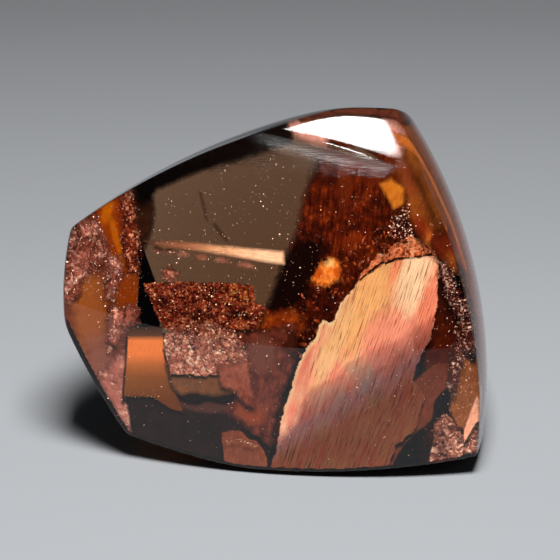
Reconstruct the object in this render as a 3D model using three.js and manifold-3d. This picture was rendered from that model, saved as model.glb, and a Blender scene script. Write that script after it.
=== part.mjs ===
// A polished free-form sunstone: one clear piece of feldspar, 24 mm across, standing on a small flat.
// Millimetres, +Z up, the viewer in front on the -Y side.
// The stone is what is left where fourteen gently domed faces and one flat meet.
// Each face has a dome of its own radius, as a dished grinding lap leaves it, and crisp edges.
import * as THREE from "three";
import { mergeVertices } from "three/addons/utils/BufferGeometryUtils.js";
import Module from "manifold-3d";

const wasm = await Module();
wasm.setup();

// Driving dimensions.
// The heart of the stone, from the middle of the flat that it rests on, which is the origin.
const HEART = new THREE.Vector3(-1.1, 1, 8.1);
// Each face: the way it looks, as degrees round from the front (towards the right) and degrees up;
// how far it lies from the heart; and the radius of its dome.
const FACES = {
  front: { round: -10, up: 13.5, reach: 6.6, dome: 42.5 },
  crown: { round: -10, up: 55, reach: 10.9, dome: 22 },
  upper_left: { round: -138.5, up: 53, reach: 8.3, dome: 36.5 },
  shoulder: { round: -160.5, up: 52, reach: 8.85, dome: 33.5 },
  right: { round: 96, up: 19, reach: 11.55, dome: 27 },
  left_tip: { round: -110.5, up: -4, reach: 11, dome: 17 },
  lower_left: { round: -105, up: -34, reach: 9.4, dome: 49 },
  left_underside: { round: -59, up: -77, reach: 9.15, dome: 62 },
  underside: { round: -132, up: -88.5, reach: 8.2, dome: 64 },
  back: { round: 180, up: -4, reach: 5.5, dome: 150 },
  lower_back: { round: 180, up: -34, reach: 5.95, dome: 60 },
  top_bevel: { round: -171, up: 21, reach: 7.4, dome: 60 },
  left_bevel: { round: -134.5, up: -20, reach: 7.5, dome: 40 },
  right_bevel: { round: 140, up: -12.5, reach: 10.15, dome: 40 },
};

// How finely a dome is drawn.
const RING_STEP = 1.1; // between one ring and the next, going out from the middle of a face
const SPOKES = 64;
const BLANK_RADIUS = 17; // a blank wide enough to hold the whole stone
const BLANK_DEPTH = 20;
const SLIVER = 0.004; // a point is left out where that moves the surface by less than this
const SEAM = 1e-4; // points nearer to each other than this are one point

// The way a face looks, as a unit vector.
function outward({ round, up }) {
  const turn = THREE.MathUtils.degToRad(round);
  const rise = THREE.MathUtils.degToRad(up);
  const level = Math.cos(rise);
  return new THREE.Vector3(Math.sin(turn) * level, -Math.cos(turn) * level, Math.sin(rise));
}

// A closed three.js geometry as a solid that can be cut.
function solidFrom(geometry) {
  const bare = geometry.clone();
  bare.deleteAttribute("normal");
  bare.deleteAttribute("uv");
  const merged = mergeVertices(bare, SEAM);
  return new wasm.Manifold(
    new wasm.Mesh({
      numProp: 3,
      vertProperties: merged.attributes.position.array,
      triVerts: new Uint32Array(merged.index.array),
    }),
  );
}

// A round blank with one domed end: the end is the face, and the blank runs back from it past the stone.
function domedBlank(face) {
  const profile = [new THREE.Vector2(0, -BLANK_DEPTH), new THREE.Vector2(BLANK_RADIUS, -BLANK_DEPTH)];
  const rings = Math.ceil(BLANK_RADIUS / RING_STEP);
  for (let ring = rings; ring >= 0; ring--) {
    const out = (BLANK_RADIUS * ring) / rings;
    const drop = face.dome - Math.sqrt(face.dome ** 2 - out ** 2);
    profile.push(new THREE.Vector2(out, face.reach - drop));
  }
  const blank = new THREE.LatheGeometry(profile, SPOKES);
  const turn = new THREE.Quaternion().setFromUnitVectors(new THREE.Vector3(0, 1, 0), outward(face));
  blank.applyQuaternion(turn);
  blank.translate(...HEART.toArray());
  return solidFrom(blank);
}

function stoneGeometry() {
  const blanks = Object.values(FACES).map(domedBlank);
  const rough = blanks.reduce((kept, blank) => kept.intersect(blank));
  const standing = rough.trimByPlane([0, 0, 1], 0).simplify(SLIVER); // the resting flat, then a clean mesh
  const mesh = standing.getMesh();
  const geometry = new THREE.BufferGeometry();
  geometry.setAttribute("position", new THREE.BufferAttribute(mesh.vertProperties, mesh.numProp));
  geometry.setIndex(new THREE.BufferAttribute(mesh.triVerts, 1));
  geometry.computeVertexNormals();
  return geometry;
}

const feldspar = new THREE.MeshStandardMaterial({ color: 0x9a5228, roughness: 0.08, metalness: 0 });
const sunstone = new THREE.Mesh(stoneGeometry(), feldspar);
sunstone.name = "sunstone";

const part = new THREE.Group();
part.add(sunstone);

export default part;
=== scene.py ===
# %% [markdown]
# # A polished sunstone
# A sunstone is a clear feldspar with thin plates of copper grown inside it.
# This one is a free-form stone 24 mm across, ground to gently domed faces and polished.
# Blender dresses the imported model here: the clear body first, then what has grown inside it.
# The imported model is loaded as a fixed frame.

# %% The fixed frame
import math
import random

import bmesh
import bpy
from mathutils import Euler, Matrix, Vector, noise


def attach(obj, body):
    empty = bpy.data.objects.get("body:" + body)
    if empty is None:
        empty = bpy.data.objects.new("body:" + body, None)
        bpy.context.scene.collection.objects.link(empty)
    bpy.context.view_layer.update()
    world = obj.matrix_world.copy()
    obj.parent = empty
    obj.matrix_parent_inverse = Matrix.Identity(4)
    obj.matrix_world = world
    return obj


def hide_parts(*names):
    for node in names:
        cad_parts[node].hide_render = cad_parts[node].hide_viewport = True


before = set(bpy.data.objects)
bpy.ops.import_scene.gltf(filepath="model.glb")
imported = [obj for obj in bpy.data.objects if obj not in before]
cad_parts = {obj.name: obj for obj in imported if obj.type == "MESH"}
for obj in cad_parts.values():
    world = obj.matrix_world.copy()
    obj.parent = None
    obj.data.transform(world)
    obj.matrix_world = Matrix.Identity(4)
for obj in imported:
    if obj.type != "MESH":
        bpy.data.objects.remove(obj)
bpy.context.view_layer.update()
MM = 0.001

# %% [markdown]
# ## The camera
# A stone shows best from a little above and through a long lens, which doesn't stretch its outline.
# The camera looks along +Y and down by 26 degrees, from 260 mm away.
# All places inside the stone are found from this view later, so the camera comes first.

# %% The camera
VIEW = 560  # points across the view, the unit of every place given as the camera sees it
LOOK_DOWN = math.radians(26)
AIM = Vector((-0.354, 1.087, 8.278)) * MM
FAR = 260 * MM
LENS, SENSOR = 295.8, 36.0
POINT = FAR * SENSOR / LENS / VIEW / MM  # mm at the stone for one point of the view

look = Vector((0, math.cos(LOOK_DOWN), -math.sin(LOOK_DOWN)))
camera_up = Vector((0, math.sin(LOOK_DOWN), math.cos(LOOK_DOWN)))
camera = bpy.data.objects.new("camera", bpy.data.cameras.new("camera"))
bpy.context.collection.objects.link(camera)
camera.location = AIM - look * FAR
camera.rotation_euler = (math.pi / 2 - LOOK_DOWN, 0, 0)
camera.data.lens, camera.data.sensor_width = LENS, SENSOR
camera.data.clip_start, camera.data.clip_end = 10 * MM, 5
bpy.context.scene.camera = camera
print("one view point is", round(POINT, 4), "mm wide at the stone")

# %% [markdown]
# ## Node trees in few words
# A material is a tree of nodes. These helpers add a node, set or link its inputs and give back its output,
# so that each material below can be read from top to bottom like a recipe.

# %% Helpers for node trees
def new_material(name):
    """A material with an empty node tree, and that tree."""
    material = bpy.data.materials.new(name)
    material.use_nodes = True
    material.node_tree.nodes.clear()
    return material, material.node_tree


def add(tree, kind, settings=(), **inputs):
    """Adds a node. Inputs are values or outputs, by socket name with _ for a space, or by i and number."""
    node = tree.nodes.new(kind)
    for key, value in dict(settings).items():
        setattr(node, key, value)
    for key, value in inputs.items():
        socket = node.inputs[int(key[1:])] if key[1:].isdigit() else node.inputs[key.replace("_", " ")]
        if isinstance(value, bpy.types.NodeSocket):
            tree.links.new(value, socket)
        else:
            socket.default_value = value
    return node


def maths(tree, operation, a, b):
    """One sum with two numbers."""
    return add(tree, "ShaderNodeMath", {"operation": operation}, i0=a, i1=b).outputs["Value"]


def times(tree, first, *others):
    """Numbers multiplied with each other."""
    for other in others:
        first = maths(tree, "MULTIPLY", first, other)
    return first


def plus(tree, first, *others):
    """Numbers added up."""
    for other in others:
        first = maths(tree, "ADD", first, other)
    return first


def span(tree, value, start, end, at_start=0.0, at_end=1.0, smooth=False):
    """A number that goes from at_start to at_end while the given one goes from start to end."""
    kind = {"interpolation_type": "SMOOTHSTEP"} if smooth else ()
    node = add(tree, "ShaderNodeMapRange", kind, Value=value, From_Min=start, From_Max=end,
               To_Min=at_start, To_Max=at_end)
    return node.outputs["Result"]


# %% Helpers for places and colours
def place(tree):
    """Where in the scene a spot of the surface is, in metres."""
    return add(tree, "ShaderNodeTexCoord").outputs["Object"]


def noisy(tree, where, scale, detail=2.0, rough=0.5):
    """Smooth noise from 0 to 1. The scale is how many waves it has in a metre."""
    node = add(tree, "ShaderNodeTexNoise", Vector=where, Scale=scale, Detail=detail, Roughness=rough)
    return node.outputs["Fac"]


def own_value(tree, name):
    """What the mesh keeps under this name for a spot."""
    return add(tree, "ShaderNodeAttribute", {"attribute_name": name}).outputs["Fac"]


def ramp(tree, factor, stops):
    """A colour ramp from stops of (position, colour)."""
    node = add(tree, "ShaderNodeValToRGB", Fac=factor)
    elements = node.color_ramp.elements
    while len(elements) > 1:
        elements.remove(elements[-1])
    for i, (position, colour) in enumerate(stops):
        stop = elements[0] if i == 0 else elements.new(position)
        stop.position = position
        stop.color = (*colour, 1)
    return node.outputs["Color"]


def mixed(tree, factor, a, b, blend="MIX"):
    """One colour blended with another."""
    node = add(tree, "ShaderNodeMix", {"data_type": "RGBA", "blend_type": blend}, i0=factor)
    for index, value in ((6, a), (7, b)):
        if isinstance(value, bpy.types.NodeSocket):
            tree.links.new(value, node.inputs[index])
        else:
            node.inputs[index].default_value = (*value, 1)
    return node.outputs[2]


def tinted(tree, a, b):
    """One colour multiplied by another."""
    return mixed(tree, 1.0, a, b, "MULTIPLY")


def principled(tree, **looks):
    """Ends a material with one Principled BSDF."""
    shader = add(tree, "ShaderNodeBsdfPrincipled", **looks)
    add(tree, "ShaderNodeOutputMaterial", Surface=shader.outputs["BSDF"])


# %% [markdown]
# ## The floor
# The stone stands on a smooth grey card that is pale in front and darker behind. That fade is the light
# falling off towards the back, but the lamps have the stone to light, so it is painted light: a ramp in the
# material, along Y.
# The card stops not far in front of the stone, and its edge is what the polished front face mirrors.
# At the right, just outside the camera's view, a brown strip is printed on it for the right wall to mirror.

# %% The card
CARD_FRONT, CARD_BACK, CARD_SIDE = -84 * MM, 420 * MM, 420 * MM

bm = bmesh.new()
middle = Matrix.Translation((0, (CARD_FRONT + CARD_BACK) / 2, 0))
bmesh.ops.create_grid(bm, x_segments=1, y_segments=1, size=0.5,
                      matrix=middle @ Matrix.Diagonal((2 * CARD_SIDE, CARD_BACK - CARD_FRONT, 1, 1)))
card = bpy.data.objects.new("card", bpy.data.meshes.new("card"))
bm.to_mesh(card.data)
bm.free()
bpy.context.collection.objects.link(card)
print("the card runs from", CARD_FRONT / MM, "to", CARD_BACK / MM, "mm")

# %% The card's painted light falloff
PAINTED_FALLOFF = [  # where along Y in mm, and how pale
    (-30, 0.374), (-15, 0.367), (-7, 0.365), (2, 0.363), (15, 0.341), (22, 0.320), (36, 0.286), (44, 0.257),
    (52, 0.228), (60, 0.194), (80, 0.155), (400, 0.17),
]
CARD_TINT = (0.955, 0.985, 1.03)
STRIP_REACH = 60 * MM  # how far to each side the colours of the strip are given
STRIP_SLANT = 0.055  # how far it leans outwards for each mm to the back, where the camera sees more
STRIP = [
    (0, (1.06,) * 3), (0.63, (0.98,) * 3), (0.68, (0.68, 0.60, 0.57)), (0.80, (0.45, 0.39, 0.37)),
    (0.90, (0.5, 0.46, 0.45)), (1, (0.95,) * 3),
]

card_paper, tree = new_material("graduated card")
across, along, _ = add(tree, "ShaderNodeSeparateXYZ", Vector=place(tree)).outputs
near, far = PAINTED_FALLOFF[0][0], PAINTED_FALLOFF[-1][0]
greys = [((y - near) / (far - near), [pale * t for t in CARD_TINT]) for y, pale in PAINTED_FALLOFF]
grey = ramp(tree, span(tree, along, near * MM, far * MM), greys)
beside = maths(tree, "SUBTRACT", across, times(tree, along, STRIP_SLANT))
strip = ramp(tree, span(tree, beside, -STRIP_REACH, STRIP_REACH), STRIP)
principled(tree, Base_Color=tinted(tree, grey, strip), Roughness=0.6, Specular_IOR_Level=0.2)
card.data.materials.append(card_paper)
print("the card's grey goes from", PAINTED_FALLOFF[0][1], "in front to", PAINTED_FALLOFF[-1][1], "behind")

# %% [markdown]
# ## The light
# Three soft boxes light the set. One hangs over the stone, a little to the right and behind. It gives the
# white gleam on the crown, and its light reaches the copper inside. One above lights the card alone, for an
# even floor and a soft shadow under the stone. A small one in front makes the copper sheets flash. A fourth
# comes later, for the haze in the stone alone. Light linking says which lamp lights what: a lamp is given a
# collection of the things that it may light.

# %% Soft boxes
def outward(turn, up):
    """The direction that is turned from the front and raised by these degrees."""
    t, u = math.radians(turn), math.radians(up)
    return Vector((math.sin(t) * math.cos(u), -math.cos(t) * math.cos(u), math.sin(u)))


def soft_box(name, location, rotation, size, power, lights):
    """A rectangular soft box, of this size in mm, for the things in a collection."""
    lamp = bpy.data.lights.new(name, "AREA")
    lamp.shape = "RECTANGLE"
    lamp.size, lamp.size_y = (length * MM for length in size)
    lamp.energy = power
    box = bpy.data.objects.new(name, lamp)
    box.location, box.rotation_euler = location, rotation
    box.light_linking.receiver_collection = lights
    bpy.context.collection.objects.link(box)
    return box


def top_box(name, middle, size, turn, power, lights):
    """A soft box above the table that faces straight down, turned round by some degrees."""
    return soft_box(name, Vector(middle) * MM, (0, 0, math.radians(turn)), size, power, lights)


def front_box(name, way, far, wide, power, lights):
    """A square soft box turned to face the stone, seen from it in this direction and this many mm away."""
    back = outward(*way)
    rotation = back.to_track_quat("Z", "Y").to_euler()
    return soft_box(name, AIM + back * far * MM, rotation, (wide, wide), power, lights)


KEY_AT, KEY_SIZE, KEY_TURN, KEY_POWER = (50.5, 49.5, 200), (105, 62), 22, 1.6  # mm, mm, degrees, watts
CARD_BOX_AT, CARD_BOX_SIZE, CARD_BOX_POWER = (16, -42, 210), (76, 76), 0.72
FRONT_WAY, FRONT_FAR, FRONT_WIDE, FRONT_POWER = (6, 50), 300, 46, 0.16  # degrees round and up, mm, mm, watts

the_stone = bpy.data.collections.new("the stone and its copper")
the_card = bpy.data.collections.new("the card")
the_card.objects.link(card)
key_box = top_box("soft box", KEY_AT, KEY_SIZE, KEY_TURN, KEY_POWER, the_stone)
top_box("card box", CARD_BOX_AT, CARD_BOX_SIZE, 0, CARD_BOX_POWER, the_card)
front_box("front lamp", FRONT_WAY, FRONT_FAR, FRONT_WIDE, FRONT_POWER, the_stone)
print("the soft box over the stone is", KEY_SIZE[0], "x", KEY_SIZE[1], "mm")

# %% [markdown]
# The cloth of a soft box is brightest before its bulb, dimmer at its far end and dark at its rim.
# That shows in the gleam: it is white in the middle, lets the stone's pink through at its left tip, and has
# soft edges. An area lamp is evenly bright, so its strength is multiplied by a fade from each side.

# %% Fades on the soft box
DIM_END = 0.2  # how bright the box's left end is, beside its middle
BOX_FADES = [  # axis, where it is dim, where it is bright, how bright the dim place is
    ("X", 0.1, 0.6, DIM_END), ("X", 1, 0.82, 0), ("Y", 0, 0.7, 0), ("Y", 1, 0.9, 0),
]

key_box.data.use_nodes = True
tree = key_box.data.node_tree
spot = add(tree, "ShaderNodeNewGeometry").outputs["Parametric"]
spot = add(tree, "ShaderNodeSeparateXYZ", Vector=spot)
shine = 1.0
for axis, dim_at, bright_at, dim in BOX_FADES:
    shine = times(tree, span(tree, spot.outputs[axis], dim_at, bright_at, dim, smooth=True), shine)
tree.links.new(shine, tree.nodes["Emission"].inputs["Strength"])
print("the soft box fades from", len(BOX_FADES), "sides")

# %% [markdown]
# The room around is dark, so the clear parts look out into darkness, as they do in a studio.
# Caustics are off, because they would need thousands of samples to settle. A ray may cross many surfaces,
# because the sheets in the stone lie one behind the other.

# %% The dark room
ROOM_COLOUR, ROOM_GLOW = (0.9, 0.95, 1, 1), 0.03

world = bpy.data.worlds.new("dark room")
world.use_nodes = True
world.node_tree.nodes["Background"].inputs["Color"].default_value = ROOM_COLOUR
world.node_tree.nodes["Background"].inputs["Strength"].default_value = ROOM_GLOW
scene = bpy.context.scene
scene.world = world
scene.view_settings.view_transform = "Standard"
scene.cycles.caustics_refractive = False
scene.cycles.caustics_reflective = False
scene.cycles.transparent_max_bounces = 24
scene.cycles.transmission_bounces = 16
scene.cycles.max_bounces = 20
print("the room glows at", ROOM_GLOW)

# %% [markdown]
# ## The clear stone
# The cutter ground fourteen gently domed faces round one heart, and a small flat to stand on. A sculpted
# blob would look melted, and cutting fourteen bodies with booleans would leave razor edges.
# Each face is part of a big ball, so a ray from the heart leaves the stone at the nearest ball.
# An icosphere is pushed out along such rays. A soft minimum in place of the nearest ball gives the
# edges the hair-fine rounding that polishing leaves. Only the triangles near an edge are subdivided.

# %% The ground faces
HEART = Vector((-1.1, 1, 8.1)) * MM
FACES = {  # name: (degrees round from the front, degrees up, reach from the heart, radius of the dome), in mm
    "front": (-10, 13.5, 6.6, 42.5),
    "crown": (-10, 55, 10.9, 22),
    "upper_left": (-138.5, 53, 8.3, 36.5),
    "shoulder": (-160.5, 52, 8.85, 33.5),
    "right": (96, 19, 11.55, 27),
    "left_tip": (-110.5, -4, 11, 17),
    "lower_left": (-105, -34, 9.4, 49),
    "left_underside": (-59, -77, 9.15, 62),
    "underside": (-132, -88.5, 8.2, 64),
    "back": (180, -4, 5.5, 150),
    "lower_back": (180, -34, 5.95, 60),
    "top_bevel": (-171, 21, 7.4, 60),
    "left_bevel": (-134.5, -20, 7.5, 40),
    "right_bevel": (140, -12.5, 10.15, 40),
}
BALLS = [
    (HEART + outward(turn, up) * (reach - dome) * MM, dome * MM)
    for turn, up, reach, dome in FACES.values()
]


def ball_run(start, heading, middle, radius):
    """How far a ray from inside a ball runs before it leaves it."""
    lag = (middle - start).dot(heading)
    return lag + math.sqrt(max(lag * lag - (middle - start).length_squared + radius * radius, 0))


print("the stone has", len(BALLS), "domed faces")

# %% Pushing the ball out to the faces
SOFTNESS = 150  # a higher power gives a sharper edge
NEAR_EDGE = (0.002, 0.02, 0.12)  # share of the second face that marks an edge, for each round of subdividing


def skin(heading):
    """Where a ray from the heart meets the rounded stone, the way out there, and how near an edge is."""
    runs = [ball_run(HEART, heading, middle, radius) for middle, radius in BALLS]
    normals = [(HEART + heading * run - middle) / radius for run, (middle, radius) in zip(runs, BALLS)]
    if heading.z < 0:  # the flat that the stone stands on
        runs.append(-HEART.z / heading.z)
        normals.append(Vector((0, 0, -1)))
    least = min(runs)
    shares = [(least / run) ** SOFTNESS for run in runs]
    out = Vector()
    for share, run, normal in zip(shares, runs, normals):
        out += normal * (share * least / (run * heading.dot(normal)))
    return HEART + heading * least * sum(shares) ** (-1 / SOFTNESS), out.normalized(), sorted(shares)[-2]


bm = bmesh.new()
bmesh.ops.create_icosphere(bm, subdivisions=6, radius=1)
for share in NEAR_EDGE:
    near = {v: skin(v.co.normalized())[2] > share for v in bm.verts}
    edges = [e for e in bm.edges if any(near[v] for v in e.verts)]
    bmesh.ops.subdivide_edges(bm, edges=edges, cuts=1, use_grid_fill=True)
    bmesh.ops.triangulate(bm, faces=[f for f in bm.faces if len(f.verts) > 3])
ways_out = []
for v in bm.verts:
    v.co, way, _ = skin(v.co.normalized())
    ways_out.append(way)
for f in bm.faces:
    f.smooth = True
print("the clear body has", len(bm.faces), "triangles and", round(bm.calc_volume() / MM**3, 1), "cubic mm")

# %% The clear body
stone_mesh = bpy.data.meshes.new("clear_feldspar")
bm.to_mesh(stone_mesh)
bm.free()
stone_mesh.normals_split_custom_set_from_vertices(ways_out)
stone = bpy.data.objects.new("clear_feldspar", stone_mesh)
bpy.context.collection.objects.link(stone)
the_stone.objects.link(stone)
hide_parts("sunstone")
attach(stone, "root")
print("clear_feldspar replaces the packed sunstone")

# %% [markdown]
# Under the crown's edge the front is a little worn. Hairline scratches run along it and scatter a grey sheen,
# and the polish has rounded the edge off, so its mirror bends there. Both are far too fine to model:
# masks from the height, the side and the front say where the wear is, and a bump stands for the rounding.

# %% Where the front is worn
SCRATCH_LONG, SCRATCH_WIDE, WEAR_PATCH = 2.2 * MM, 0.05 * MM, 2.5 * MM
SCRATCH_TURN = (0, math.radians(4), math.radians(3))
EDGE_FALLS = 0.2  # the crown's edge comes down by this much for each mm to the right
# where the wear begins and where it is full: upwards, to the front, in from the right, and down from the edge
WEAR_UP, WEAR_FRONT = (16.1 * MM, 17.3 * MM), (-1 * MM, -2.5 * MM)
WEAR_SIDE, WEAR_UNDER = (7.0 * MM, 5.4 * MM), (18.75 * MM, 18.5 * MM)
DULL_EDGE, ROUNDED = (17.9 * MM, 18.45 * MM), (17.75 * MM, 18.65 * MM)  # both up to the edge

feldspar, tree = new_material("clear feldspar")
where = place(tree)
lines = add(tree, "ShaderNodeMapping", Vector=where)
lines.inputs["Rotation"].default_value = SCRATCH_TURN
lines.inputs["Scale"].default_value = (1 / SCRATCH_LONG, 1 / SCRATCH_WIDE, 1 / SCRATCH_WIDE)
hairlines = noisy(tree, lines.outputs["Vector"], 1.0)
sideways, inward, height = add(tree, "ShaderNodeSeparateXYZ", Vector=where).outputs
edge = plus(tree, height, times(tree, sideways, EDGE_FALLS))
in_place = times(tree, span(tree, inward, *WEAR_FRONT), span(tree, sideways, *WEAR_SIDE))
at_edge = times(tree, span(tree, edge, *WEAR_UNDER), in_place)
worn = times(tree, span(tree, height, *WEAR_UP), at_edge, noisy(tree, where, 1 / WEAR_PATCH))
dull_edge = times(tree, span(tree, edge, *DULL_EDGE), at_edge)
rounded = times(tree, span(tree, edge, *ROUNDED, 1, 0, smooth=True), in_place)
print("a scratch is", round(SCRATCH_WIDE / MM, 2), "mm wide")

# %% [markdown]
# The body is a see-through crystal of refractive index 1.54, and it is the body that has the colour,
# so the colour is in the volume: light loses blue soonest and red last on its way through.
# Lamps must reach the copper inside, so for shadow rays within the stone alone the surface lets light
# straight through.

# %% Clear feldspar
BODY_TINT = (0.893, 0.838, 0.79)  # what is left of red, green and blue light after one mm
POLISH, WORN_POLISH, EDGE_DULLNESS = 0.015, 0.2, 0.3  # how rough
WEAR_SHOWS = (0.2, 0.6)
ROUNDING, SCRATCH_DEPTH = 0.36 * MM, 0.17  # height of the rounding, and the scratches' share of it

dull = plus(tree, span(tree, worn, *WEAR_SHOWS, POLISH, WORN_POLISH), times(tree, dull_edge, EDGE_DULLNESS))
relief = plus(tree, rounded, times(tree, hairlines, worn, SCRATCH_DEPTH))
bumps = add(tree, "ShaderNodeBump", Height=relief, Strength=1.0, Distance=ROUNDING).outputs["Normal"]
polish = add(tree, "ShaderNodeBsdfPrincipled", Base_Color=(1, 1, 1, 1), Roughness=dull, IOR=1.54,
             Transmission_Weight=1.0, Normal=bumps)
straight = add(tree, "ShaderNodeBsdfTransparent", Color=(1, 1, 1, 1))
ray = add(tree, "ShaderNodeLightPath").outputs
for_copper = times(tree, ray["Is Shadow Ray"], maths(tree, "GREATER_THAN", ray["Transmission Depth"], 0.5))
surface = add(tree, "ShaderNodeMixShader", i0=for_copper, i1=polish.outputs["BSDF"],
              i2=straight.outputs["BSDF"])
losses = [-math.log(c) / MM for c in BODY_TINT]
deepest = max(losses)
kept = [1 - loss / deepest for loss in losses]
body = add(tree, "ShaderNodeVolumeAbsorption", Density=deepest, Color=(*kept, 1))
add(tree, "ShaderNodeOutputMaterial", Surface=surface.outputs["Shader"], Volume=body.outputs["Volume"])
stone_mesh.materials.append(feldspar)
print("absorption per mm:", [round(loss * MM, 3) for loss in losses])

# %% [markdown]
# ## Finding places inside the stone
# What has grown inside is seen through the polished front, which bends the line of sight. A piece put
# straight behind what the camera shows would stand in the wrong place from every other side.
# So each piece is placed along the bent line: a straight ray runs from the camera to the first face,
# turns there by the law of refraction, and then meets the plane in which the copper lies.

# %% Lines of sight into the stone
BEND = 1 / 1.54
SKIN = 0.12 * MM  # nothing inside comes nearer to the polished surface than this
LEAST_RUN = 4 * SKIN  # a view that stays in the stone for less than this is past its outline
MIDDLE_OF_VIEW, NUDGE = (285, 300), 0.01
MISSED = 1  # metres, past every face: how far off a ball's entry is said to be if the view misses it


def line_of_sight(px, py):
    """Where the view through a point enters the stone, its way inside, and how far it runs there."""
    per_point = SENSOR / LENS / VIEW
    across = Vector((1, 0, 0)) * (px - VIEW / 2) * per_point
    ray = (look + across + camera_up * (VIEW / 2 - py) * per_point).normalized()
    entries, exits = [], []
    for middle, radius in BALLS:
        lag = (middle - camera.location).dot(ray)
        depth = lag * lag - (middle - camera.location).length_squared + radius * radius
        half = math.sqrt(max(depth, 0))
        entries.append((lag - half if depth > 0 else MISSED, middle))
        exits.append(lag + half)
    run, middle = max(entries, key=lambda e: e[0])
    if run > min(*exits, -camera.location.z / ray.z) - LEAST_RUN:  # so try a little nearer the middle
        return line_of_sight(px + NUDGE * (MIDDLE_OF_VIEW[0] - px), py + NUDGE * (MIDDLE_OF_VIEW[1] - py))
    entry = camera.location + ray * run
    normal = (entry - middle).normalized()
    facing = -ray.dot(normal)
    way = ray * BEND + normal * (BEND * facing - math.sqrt(1 - BEND * BEND * (1 - facing * facing)))
    runs = [ball_run(entry, way, *ball) for ball in BALLS]
    if way.z < 0:
        runs.append(-entry.z / way.z)
    return entry, way, min(runs)


def under(px, py, depth):
    """The place seen at a point of the view, this many mm below the surface."""
    entry, way, run = line_of_sight(px, py)
    return entry + way * min(max(depth * MM, SKIN), run - SKIN)


def on_plane(px, py, anchor, normal):
    """The place seen at a point of the view that lies on a plane, kept inside the skin of the stone."""
    entry, way, run = line_of_sight(px, py)
    depth = (anchor - entry).dot(normal) / way.dot(normal)
    return entry + way * min(max(depth, SKIN), run - SKIN)


entry, way, run = line_of_sight(*MIDDLE_OF_VIEW)
print("the middle view enters at", [round(c / MM, 2) for c in entry], "and runs", round(run / MM, 1), "mm")

# %% [markdown]
# ## A sheet of copper plates
# In a sunstone the copper lies in flat sheets, because it grew along the planes of the crystal.
# No sheet ends in a clean cut: at its rim it breaks up into islands and then into single plates. Modelling
# each island would take millions of faces. So a sheet starts as a grid on its plane, and each corner of the
# grid keeps how far inside the outline it lies, as an attribute that the material reads later to break the
# rim. A short extrusion makes it a thin body.

# %% Inside the stone and inside an outline
def kept_inside(point):
    """The point, or if it is outside the skin of the stone, the place towards the heart where that ends."""
    heading = (point - HEART).normalized()
    run = min(ball_run(HEART, heading, *ball) for ball in BALLS)
    if heading.z < 0:
        run = min(run, -HEART.z / heading.z)
    return point if (point - HEART).length < run - SKIN else HEART + heading * (run - SKIN)


def inside_by(x, y, outline):
    """How far inside an outline a point of the plane is, below 0 outside it."""
    inside, near = False, math.inf
    for (x0, y0), (x1, y1) in zip(outline, outline[1:] + outline[:1]):
        if (y0 > y) != (y1 > y) and x < x0 + (y - y0) / (y1 - y0) * (x1 - x0):
            inside = not inside
        dx, dy = x1 - x0, y1 - y0
        share = min(max(((x - x0) * dx + (y - y0) * dy) / (dx * dx + dy * dy), 0), 1)
        near = min(near, (x - x0 - share * dx) ** 2 + (y - y0 - share * dy) ** 2)
    return math.sqrt(near) * (1 if inside else -1)


# %% Thin bodies
BEYOND = 0.45  # mm of grid kept outside the outline, for the islands
THICK = 0.02  # mm


def finish_piece(name, bm, material, smooth=False):
    """Makes a bmesh one of the stone's pieces, with its place in its mesh."""
    bmesh.ops.recalc_face_normals(bm, faces=bm.faces)
    for f in bm.faces:
        f.smooth = smooth
    mesh = bpy.data.meshes.new(name)
    bm.to_mesh(mesh)
    bm.free()
    mesh.materials.append(material)
    piece = bpy.data.objects.new(name, mesh)
    bpy.context.collection.objects.link(piece)
    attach(piece, "root")
    the_stone.objects.link(piece)
    return piece


def outline_grid(outline, step):
    """A grid over an outline in mm, with the attribute "inside" at each corner."""
    xs, ys = zip(*outline)
    wide, tall = (max(c) - min(c) + 2 * BEYOND for c in (xs, ys))
    middle = Matrix.Translation(((max(xs) + min(xs)) / 2, (max(ys) + min(ys)) / 2, 0))
    bm = bmesh.new()
    inside = bm.verts.layers.float.new("inside")
    bmesh.ops.create_grid(bm, x_segments=math.ceil(wide / step), y_segments=math.ceil(tall / step), size=0.5,
                          matrix=middle @ Matrix.Diagonal((wide, tall, 1, 1)))
    for v in bm.verts:
        v[inside] = inside_by(v.co.x, v.co.y, outline)
    bmesh.ops.delete(bm, geom=[v for v in bm.verts if v[inside] < -BEYOND], context="VERTS")
    return bm


def thin_body(name, bm, way, material):
    """Gives a grid that lies in the stone a back side, and makes it a piece."""
    for v in bm.verts:
        v.co = kept_inside(v.co)
    made = bmesh.ops.extrude_face_region(bm, geom=bm.faces)["geom"]
    back = [v for v in made if isinstance(v, bmesh.types.BMVert)]
    bmesh.ops.translate(bm, verts=back, vec=-way * THICK * MM)
    print(name, "has", len(bm.faces), "faces")
    return finish_piece(name, bm, material)


# %% Flat sheets
WAVE = 1.1 * MM  # how long the waves of a sheet are


def copper_sheet(name, outline, anchor, normal, material, step=0.2, wavy=0.05):
    """A thin sheet inside the stone, from its outline as the camera sees it. Step and waves in mm."""
    normal = Vector(normal).normalized()
    anchor = anchor if isinstance(anchor, Vector) else under(*anchor)
    right = normal.cross(Vector((0, 0, 1))).normalized() * -1
    up = normal.cross(right)
    flat = [(spot - anchor) / MM for spot in (on_plane(x, y, anchor, normal) for x, y in outline)]
    bm = outline_grid([(p.dot(right), p.dot(up)) for p in flat], step)
    lying = Matrix((right, up, normal)).transposed().to_4x4() * MM
    lying[3][3] = 1
    bmesh.ops.transform(bm, matrix=Matrix.Translation(anchor) @ lying, verts=bm.verts)
    for v in bm.verts:
        v.co += normal * noise.noise(v.co / WAVE) * wavy * MM
    return thin_body(name, bm, normal, material)


# %% [markdown]
# Some copper follows the polished surface instead, close under it, where the facets meet.
# Its grid is laid out in the view, and each corner is then set at the same small depth.

# %% Sheets close under the surface
SKIN_STEP = 0.25  # mm


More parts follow.
